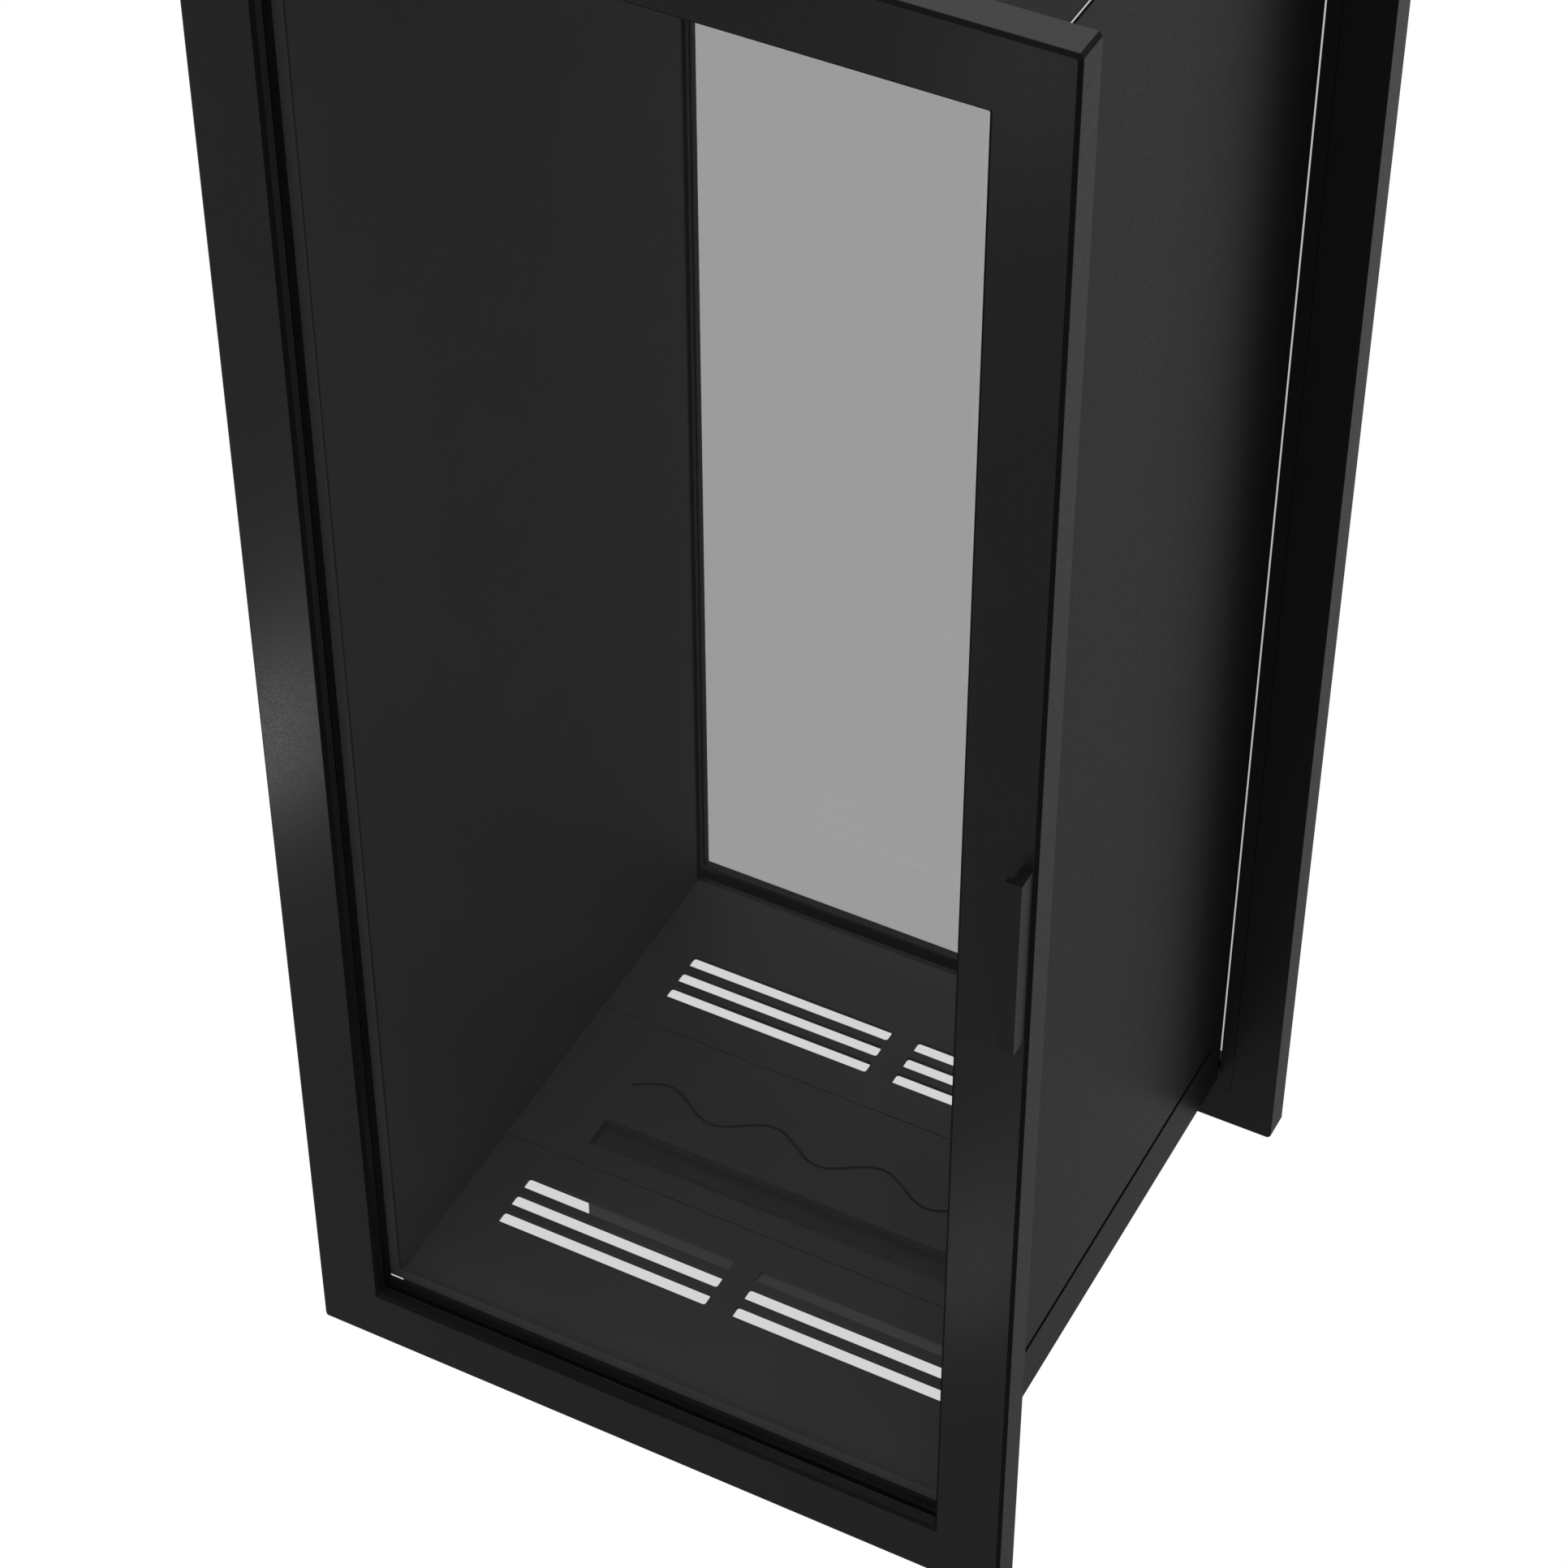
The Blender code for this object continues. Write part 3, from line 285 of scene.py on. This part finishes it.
def dress_nodes(surfaces):
    """Gives every CAD node its finish, picked from its name."""
    rules = (
        ("door_seal", "seal"),
        ("door_glass_gasket", "rubber"),
        ("rear_glass_gasket", "rubber"),
        ("door_glass", "door_glass"),
        ("rear_glass", "rear_glass"),
        ("door_", "frame"),
        ("rear_tie", "panel"),
        ("rear_", "frame"),
        ("side_panel", "panel"),
        ("roof_panel", "panel"),
        ("side_lining", "lining"),
        ("ceiling_lining", "lining"),
        ("floor_", "floor"),
        ("hatch_trough", "floor"),
        ("ventilation_tray", "unit"),
        ("light_housing", "unit"),
        ("light_diffuser", "opal"),
        ("fan_", "black"),
        ("levelling_", "black"),
        ("magnetic_catch", "black"),
        ("power_inlet", "black"),
        ("base_", "panel"),
        ("", "zinc"),
    )
    for node in NODES:
        finish = next(value for start, value in rules if node.startswith(start))
        dress(node, surfaces[finish])


def soften(obj, width=EDGE_SOFT, segments=2):
    """Rounds an object's sharp edges, as a coating does."""
    bevel = obj.modifiers.new("soft_edges", "BEVEL")
    bevel.width = width
    bevel.segments = segments
    bevel.limit_method = "ANGLE"
    bevel.angle_limit = SHARP_ANGLE
    bevel.harden_normals = False


def soften_nodes():
    """Rounds the edges of sheet pieces and the handle, and half as much those of beads and floor panels."""
    full = ("door_handle", "side_panel", "roof_panel", "rear_tie", "light_housing", "ventilation_tray")
    half = ("door_glazing_bead", "rear_glazing_bead", "floor_panel", "floor_hatch")
    for node, obj in NODES.items():
        if node.startswith(full):
            soften(obj)
        elif node.startswith(half):
            soften(obj, EDGE_SOFT / 2)


# ---------------------------------------------------------------- mesh helpers


def new_object(name, bm, material, body, smooth=False):
    bmesh.ops.recalc_face_normals(bm, faces=bm.faces)
    mesh = bpy.data.meshes.new(name)
    bm.to_mesh(mesh)
    bm.free()
    if smooth:
        mesh.shade_smooth()
        mesh.set_sharp_from_angle(angle=SHARP_ANGLE)
    mesh.materials.append(material)
    obj = bpy.data.objects.new(name, mesh)
    bpy.context.scene.collection.objects.link(obj)
    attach(obj, body)
    return obj


def towards(axis):
    """Rotation that lays local +Z along an axis."""
    return Vector(axis).to_track_quat("Z", "Y").to_matrix().to_4x4()


def revolve(bm, profile, matrix, sides):
    """Adds the closed solid of a profile of (radius, height) turned about local Z.

    A radius of zero is one point on the axis.
    """
    turn = 2 * math.pi / sides
    rings = []
    for radius, height in profile:
        if radius == 0.0:
            rings.append([bm.verts.new(matrix @ Vector((0, 0, height)))])
            continue
        angles = [turn * i for i in range(sides)]
        ring = [Vector((radius * math.cos(a), radius * math.sin(a), height)) for a in angles]
        rings.append([bm.verts.new(matrix @ point) for point in ring])
    for low, high in zip(rings, rings[1:]):
        for i in range(sides):
            j = (i + 1) % sides
            near = [low[i % len(low)], low[j % len(low)]]
            far = [high[j % len(high)], high[i % len(high)]]
            bm.faces.new(list(dict.fromkeys(near + far)))


# ---------------------------------------------------------------- portals


def portal_section():
    """Outline of a member: distance in from the portal's outer edge, and back from its show face."""
    c = PORTAL_CHAMFER
    return [
        (c, 0.0),
        (PORTAL_BORDER - c, 0.0),
        (PORTAL_BORDER, c),
        (PORTAL_BORDER, PORTAL_LIP),
        (PORTAL_SHOULDER, PORTAL_LIP),
        (PORTAL_SHOULDER, PORTAL_THICK),
        (0.0, PORTAL_THICK),
        (0.0, c),
    ]


def portal_skin(prefix, show_y, depth, surfaces, body):
    """One portal with its corners welded and dressed flush, in place of the four members."""
    members = [prefix + end for end in ("_stile_left", "_stile_right", "_rail_top", "_rail_bottom")]
    low = Vector([min(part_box(node)[0][i] for node in members) for i in range(3)])
    high = Vector([max(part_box(node)[1][i] for node in members) for i in range(3)])
    bm = bmesh.new()
    rings = []
    for inset, back in portal_section():
        y = show_y + depth * back
        clip = PORTAL_CHAMFER if inset == 0.0 else CORNER_CLIP
        left, right, foot, head = low.x + inset, high.x - inset, low.z + inset, high.z - inset
        corners = (
            (left + clip, y, foot),
            (right - clip, y, foot),
            (right, y, foot + clip),
            (right, y, head - clip),
            (right - clip, y, head),
            (left + clip, y, head),
            (left, y, head - clip),
            (left, y, foot + clip),
        )
        rings.append([bm.verts.new(corner) for corner in corners])
    for step, (ring, after) in enumerate(zip(rings, rings[1:] + rings[:1])):
        for i in range(8):
            j = (i + 1) % 8
            face = bm.faces.new((ring[i], ring[j], after[j], after[i]))
            inner_or_outer_chamfer = step in (1, 7)
            corner_flat = step == 6 and i % 2 == 1
            # Chamfers and corner flats take the second material, a darker coat that paints their shade
            face.material_index = int(inner_or_outer_chamfer or corner_flat)
    skin = new_object(prefix + "_portal_skin", bm, surfaces["frame"], body)
    # The second material is the coat with painted shade for the chamfers and corner flats
    skin.data.materials.append(surfaces["chamfer"])
    soften(skin, CORNER_CLIP / 2)
    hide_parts(*members)
    return skin


# ---------------------------------------------------------------- fasteners


def screw_profile(radius):
    """Button head with a round pocket, standing on local Z = 0."""
    high = radius * HEAD_HIGH
    head = [(radius * across, high * up) for across, up in HEAD_SHAPE]
    return [(0.0, -HEAD_SUNK), (radius, -HEAD_SUNK), *head]


def screws(name, places, axis, radius, surfaces, body):
    """A row of button-head screws, each at its own place on a face whose outward normal is axis."""
    bm = bmesh.new()
    for place in places:
        revolve(bm, screw_profile(radius), Matrix.Translation(place) @ towards(axis), SCREW_SIDES)
    return new_object(name, bm, surfaces["zinc"], body, smooth=True)


def hinge_screws(surfaces):
    """Five screws through each body leaf and three through each door leaf."""
    for level in ("bottom", "middle", "top"):
        low, high = (Vector(corner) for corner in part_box("hinge_leaf_body_" + level))
        zs = (low.z + LEAF_MARGIN, (low.z + high.z) / 2, high.z - LEAF_MARGIN)
        face = high.x - LEAF_THICK
        near, far = (high.y - row for row in BODY_LEAF_ROWS)
        places = [(face, y, z) for y in (near, far) for z in (zs[0], zs[2])] + [(face, near, zs[1])]
        screws("hinge_screws_body_" + level, places, (-1, 0, 0), HINGE_SCREW, surfaces, "booth")
        low, high = (Vector(corner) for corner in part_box("hinge_leaf_door_" + level))
        face = low.y + LEAF_THICK
        places = [(low.x + DOOR_LEAF_ROW, face, z) for z in zs]
        screws("hinge_screws_door_" + level, places, (0, 1, 0), HINGE_SCREW, surfaces, "door")


def tie_screws(surfaces):
    """Two screws through each flange of the angles that tie the roof to the rear portal."""
    for side in ("left", "right"):
        low, high = (Vector(corner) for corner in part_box("rear_tie_" + side))
        xs = (low.x + TIE_MARGIN, high.x - TIE_MARGIN)
        flat = [(x, low.y + TIE_MARGIN, low.z + TIE_THICK) for x in xs]
        upright = [(x, high.y - TIE_THICK, high.z - TIE_MARGIN) for x in xs]
        screws("tie_screws_roof_" + side, flat, (0, 0, 1), TIE_SCREW, surfaces, "booth")
        screws("tie_screws_rear_" + side, upright, (0, -1, 0), TIE_SCREW, surfaces, "booth")


def foot_nuts(surfaces):
    """Hex lock nut on each levelling stem, under its rail."""
    profile = [
        (0.0, 0.0),
        (NUT_FACE, 0.0),
        (NUT_WIDE, NUT_CHAMFER),
        (NUT_WIDE, NUT_HIGH - NUT_CHAMFER),
        (NUT_FACE, NUT_HIGH),
        (0.0, NUT_HIGH),
    ]
    for end in ("front", "rear"):
        for side in ("left", "right"):
            name = "levelling_foot_" + end + "_" + side
            low, high = (Vector(corner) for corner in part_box(name))
            middle = (low + high) / 2
            at = Matrix.Translation((middle.x, middle.y, high.z - NUT_FROM_STEM_TOP))
            bm = bmesh.new()
            revolve(bm, profile, at, 6)
            new_object("lock_nut_" + end + "_" + side, bm, surfaces["zinc"], "booth")


# ---------------------------------------------------------------- light, camera and floor


def stage_floor():
    """Seamless ground that looks white to the camera, and neither lights the booth nor shows in it."""
    bm = bmesh.new()
    bmesh.ops.create_grid(bm, x_segments=1, y_segments=1, size=STAGE_HALF)
    mesh = bpy.data.meshes.new("stage_floor")
    bm.to_mesh(mesh)
    bm.free()
    made = Nodes("seamless_paper")
    made.set(Base_Color=(0.0, 0.0, 0.0, 1), Specular_IOR_Level=0.0, Roughness=1.0)
    made.set(Emission_Color=(1, 1, 1, 1), Emission_Strength=1.0)
    mesh.materials.append(made.material)
    floor = bpy.data.objects.new("stage_floor", mesh)
    bpy.context.scene.collection.objects.link(floor)
    floor.visible_diffuse = False
    floor.visible_glossy = False
    floor.visible_shadow = False


def world_light():
    """White behind the booth. The light on the booth grows from SKY_LOW up to SKY_HIGH."""
    world = bpy.data.worlds.new("studio")
    world.use_nodes = True
    nodes, links = world.node_tree.nodes, world.node_tree.links
    background = nodes["Background"]
    background.inputs["Color"].default_value = (1, 1, 1, 1)
    place = nodes.new("ShaderNodeTexCoord")
    split = nodes.new("ShaderNodeSeparateXYZ")
    links.new(place.outputs["Generated"], split.inputs["Vector"])
    gradient = nodes.new("ShaderNodeMapRange")
    for end, (height, strength) in (("Min", SKY_LOW), ("Max", SKY_HIGH)):
        gradient.inputs["From " + end].default_value = height
        gradient.inputs["To " + end].default_value = strength
    links.new(split.outputs["Z"], gradient.inputs["Value"])
    rays = nodes.new("ShaderNodeLightPath")
    choice = nodes.new("ShaderNodeMix")
    choice.inputs["B"].default_value = 1.0
    links.new(rays.outputs["Is Camera Ray"], choice.inputs["Factor"])
    links.new(gradient.outputs["Result"], choice.inputs["A"])
    links.new(choice.outputs["Result"], background.inputs["Strength"])
    bpy.context.scene.world = world


def door_glow(number, x, z, reach, watts, lit):
    """A small lamp, mirrored to the camera by the door's face at (x, z), that lights one collection."""
    point = Vector((x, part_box("door_stile_left")[0][1], z))
    seen = (Vector(CAMERA_AT) - point).normalized()
    towards_lamp = Vector((-seen.x, seen.y, -seen.z))
    data = bpy.data.lights.new("door_glow", "AREA")
    data.size = GLOW_SIZE
    data.energy = watts
    lamp = bpy.data.objects.new("door_glow_%d" % number, data)
    lamp.location = point + reach * towards_lamp
    lamp.rotation_euler = (-towards_lamp).to_track_quat("-Z", "Y").to_euler()
    lamp.visible_camera = False
    lamp.light_linking.receiver_collection = lit
    bpy.context.scene.collection.objects.link(lamp)


def camera():
    data = bpy.data.cameras.new("camera")
    data.sensor_width = 36.0
    data.lens = LENS_MM
    data.clip_end = VIEW_FAR
    made = bpy.data.objects.new("camera", data)
    made.location = CAMERA_AT
    made.rotation_euler = Vector(CAMERA_TOWARDS).to_track_quat("-Z", "Y").to_euler()
    bpy.context.scene.collection.objects.link(made)
    bpy.context.scene.camera = made


# ---------------------------------------------------------------- assembly

bpy.context.scene.view_settings.view_transform = "Standard"
SURFACES = make_materials()
dress_nodes(SURFACES)
soften_nodes()
door_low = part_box("door_stile_left")[0]
rear_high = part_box("rear_stile_left")[1]
door_skin = portal_skin("door", door_low[1], 1, SURFACES, "door")
portal_skin("rear", rear_high[1], -1, SURFACES, "booth")
hinge_screws(SURFACES)
tie_screws(SURFACES)
foot_nuts(SURFACES)
stage_floor()
world_light()
glow_lit = bpy.data.collections.new("glow_lit")
glow_lit.objects.link(door_skin)
for number, ((x, z), reach, watts) in enumerate(DOOR_GLOWS):
    door_glow(number, x, z, reach, watts, glow_lit)
camera()
